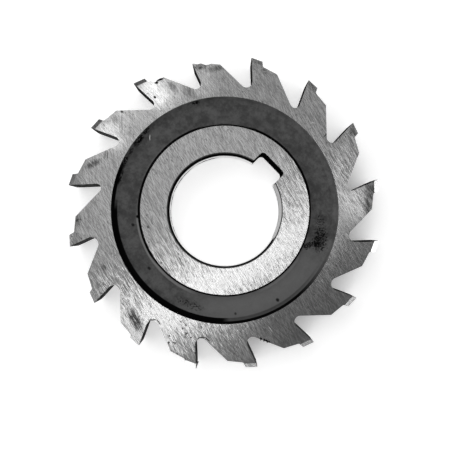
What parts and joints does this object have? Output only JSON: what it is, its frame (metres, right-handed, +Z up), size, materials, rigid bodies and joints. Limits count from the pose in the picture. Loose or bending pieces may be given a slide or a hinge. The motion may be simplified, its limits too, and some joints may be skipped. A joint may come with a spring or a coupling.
{
  "type": "slotting cutter",
  "caption": "Worn disc-shaped slotting cutter with straight raked teeth, chamfered corners, recessed sides and a keyed bore, for milling slots on an arbor",
  "frame": {"origin": "on the bore's axis, in the plane of the lower side face, on which the cutter lies", "axes": "+Z is up along the bore's axis, out of the upper side face; +Y points from the bore's axis to the middle of the keyway; +X completes a right-handed frame"},
  "size_m": [0.0602, 0.0601, 0.008],
  "materials": {
    "ground_steel": "surface-ground high-speed steel, with a blackened turned recess"
  },
  "bodies": {
    "root": {"cutter_body": "ground_steel"}
  },
  "joints": []
}
